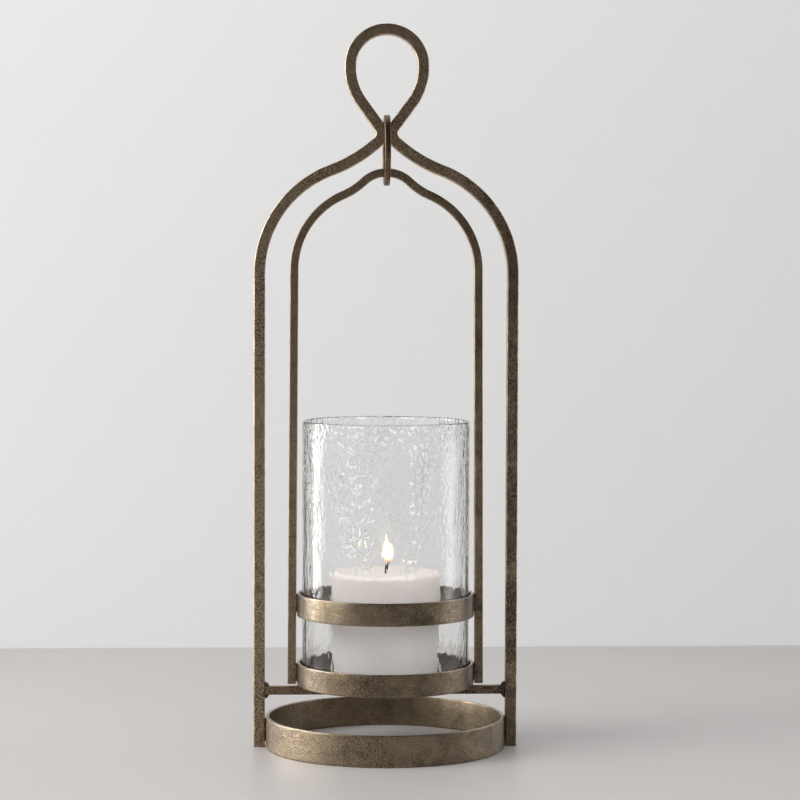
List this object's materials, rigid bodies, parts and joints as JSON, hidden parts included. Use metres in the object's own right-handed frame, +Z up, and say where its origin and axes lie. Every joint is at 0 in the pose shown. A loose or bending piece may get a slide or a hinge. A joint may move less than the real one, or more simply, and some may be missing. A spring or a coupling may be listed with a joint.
{
  "type": "pillar candle holder",
  "caption": "Free-standing arched metal frame with a carrying loop, and a hanging cup that holds an open glass sleeve around a pillar candle.",
  "frame": {"origin": "on the surface that the holder stands on, at the centre of the base ring, midway between the posts", "axes": "+X from the left post to the right post, +Y from the front to the back, +Z up along the axis of the glass and the candle"},
  "size_m": [0.1858, 0.169, 0.508],
  "materials": {
    "bronze_bar": "antique brass on square bar, dark and slightly mottled",
    "brass_strip": "antique brass strip, brushed and worn light on its edges",
    "weld_metal": "dark weld bead under the same finish",
    "clear_glass": "clear, with a rippled drip texture",
    "wax": "ivory candle wax, smooth and slightly translucent",
    "wick": "burnt braided cotton"
  },
  "bodies": {
    "stand": {"outer_frame": "bronze_bar", "neck_weld": "weld_metal", "base_ring": "brass_strip", "base_ring_welds": "weld_metal", "cross_bar": "bronze_bar", "cross_bar_welds": "weld_metal"},
    "ring": {"hanging_ring": "bronze_bar"},
    "hanger": {"hanger_frame": "bronze_bar", "upper_band": "brass_strip", "upper_band_welds": "weld_metal", "cup_band": "brass_strip", "cup_band_welds": "weld_metal", "cup_floor": "brass_strip", "cup_floor_welds": "weld_metal"},
    "glass": {"glass_sleeve": "clear_glass"},
    "candle": {"candle_wax": "wax", "candle_wick": "wick"}
  },
  "joints": [
    {"name": "ring_swing", "type": "hinge", "parent": "stand", "child": "ring", "pos_m": [0, 0, 0.41975], "axis": [1, 0, 0], "range_deg": [-3, 3]},
    {"name": "hanger_twist", "type": "hinge", "parent": "ring", "child": "hanger", "pos_m": [0, 0, 0.40425], "axis": [0, 0, 1], "range_deg": [-25, 25]},
    {"name": "glass_lift", "type": "slide", "parent": "hanger", "child": "glass", "axis": [0, 0, 1], "range_m": [0, 0.066]},
    {"name": "candle_lift", "type": "slide", "parent": "hanger", "child": "candle", "axis": [0, 0, 1], "range_m": [0, 0.19]}
  ]
}
